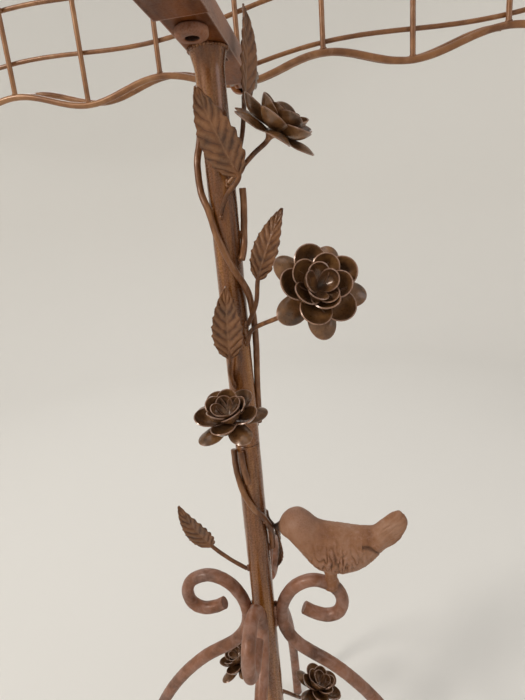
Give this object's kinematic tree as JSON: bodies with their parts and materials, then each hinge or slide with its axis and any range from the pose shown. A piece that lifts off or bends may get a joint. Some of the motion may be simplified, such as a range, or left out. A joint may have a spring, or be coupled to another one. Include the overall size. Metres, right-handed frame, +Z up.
{
  "type": "music stand",
  "caption": "Free-standing wrought-iron music stand: four scrolled legs, a plug-in tube mast with vines, roses and a bird, and a tilting wire desk.",
  "frame": {"origin": "on the floor, under the mast's axis", "axes": "+Z up along the mast, +Y towards the player, square to the desk, +X along the desk towards the bird"},
  "size_m": [0.5134, 0.3114, 1.0066],
  "materials": {
    "brown_paint": "antique brown paint with dry-brushed copper highlights",
    "petal_paint": "dark brown paint, copper on the rims",
    "leaf_paint": "brown paint rubbed back on the veins",
    "wire_paint": "satin brown paint",
    "bare_bracket": "brown paint with a pale pinkish rub",
    "cast_bird": "matt brown paint on a rough casting",
    "zinc_steel": "zinc-plated steel, tarnished"
  },
  "bodies": {
    "base": {"base_rose_left_middle_petals": "petal_paint", "base_rose_left_outer_petals": "petal_paint", "base_rose_left_stem": "brown_paint", "base_rose_right_middle_petals": "petal_paint", "base_rose_right_outer_petals": "petal_paint", "base_rose_right_stem": "brown_paint", "bird": "cast_bird", "bird_peg": "cast_bird", "leg_back": "brown_paint", "leg_front": "brown_paint", "leg_left": "brown_paint", "leg_right": "brown_paint", "lower_leaf_left": "leaf_paint", "lower_leaf_right": "leaf_paint", "lower_pole": "brown_paint", "lower_vine_long": "brown_paint", "lower_vine_short": "brown_paint"},
    "spigot": {"joint_spigot": "zinc_steel"},
    "mast": {"front_bolt": "bare_bracket", "head_bar": "bare_bracket", "hinge_tongue": "bare_bracket", "leaf_low_front": "leaf_paint", "leaf_mast_front": "leaf_paint", "leaf_side": "leaf_paint", "leaf_top": "leaf_paint", "rose_low_inner_petals": "petal_paint", "rose_low_middle_petals": "petal_paint", "rose_low_outer_petals": "petal_paint", "rose_low_stem": "brown_paint", "rose_middle_inner_petals": "petal_paint", "rose_middle_middle_petals": "petal_paint", "rose_middle_outer_petals": "petal_paint", "rose_middle_stem": "brown_paint", "rose_top_inner_petals": "petal_paint", "rose_top_middle_petals": "petal_paint", "rose_top_outer_petals": "petal_paint", "rose_top_stem": "brown_paint", "tilt_bolt": "zinc_steel", "upper_pole": "brown_paint", "vine_long": "brown_paint", "vine_side": "brown_paint"},
    "desk": {"desk_bottom_rail": "wire_paint", "desk_bracket": "bare_bracket", "desk_ledge": "wire_paint", "desk_left_side": "wire_paint", "desk_right_side": "wire_paint", "desk_top_rail": "wire_paint", "desk_wire_1": "wire_paint", "desk_wire_2": "wire_paint", "desk_wire_3": "wire_paint", "desk_wire_4": "wire_paint", "desk_wire_5": "wire_paint", "desk_wire_6": "wire_paint", "desk_wire_7": "wire_paint", "stave_wire_1": "wire_paint", "stave_wire_2": "wire_paint", "stave_wire_3": "wire_paint", "stave_wire_4": "wire_paint", "stave_wire_5": "wire_paint"},
    "wing_nut": {"wing_nut": "zinc_steel"}
  },
  "joints": [
    {"name": "mast_lift", "type": "slide", "parent": "base", "child": "spigot", "axis": [0, 0, 1], "range_m": [0, 0.04]},
    {"name": "mast_swivel", "type": "hinge", "parent": "spigot", "child": "mast", "pos_m": [0, 0, 0.458], "axis": [0, 0, 1], "continuous": true},
    {"name": "desk_tilt", "type": "hinge", "parent": "mast", "child": "desk", "pos_m": [0, 0.098, 0.7495], "axis": [1, 0, 0], "range_deg": [-10, 60]},
    {"name": "wing_nut_turn", "type": "hinge", "parent": "mast", "child": "wing_nut", "pos_m": [0, 0.098, 0.7495], "axis": [1, 0, 0], "continuous": true}
  ]
}
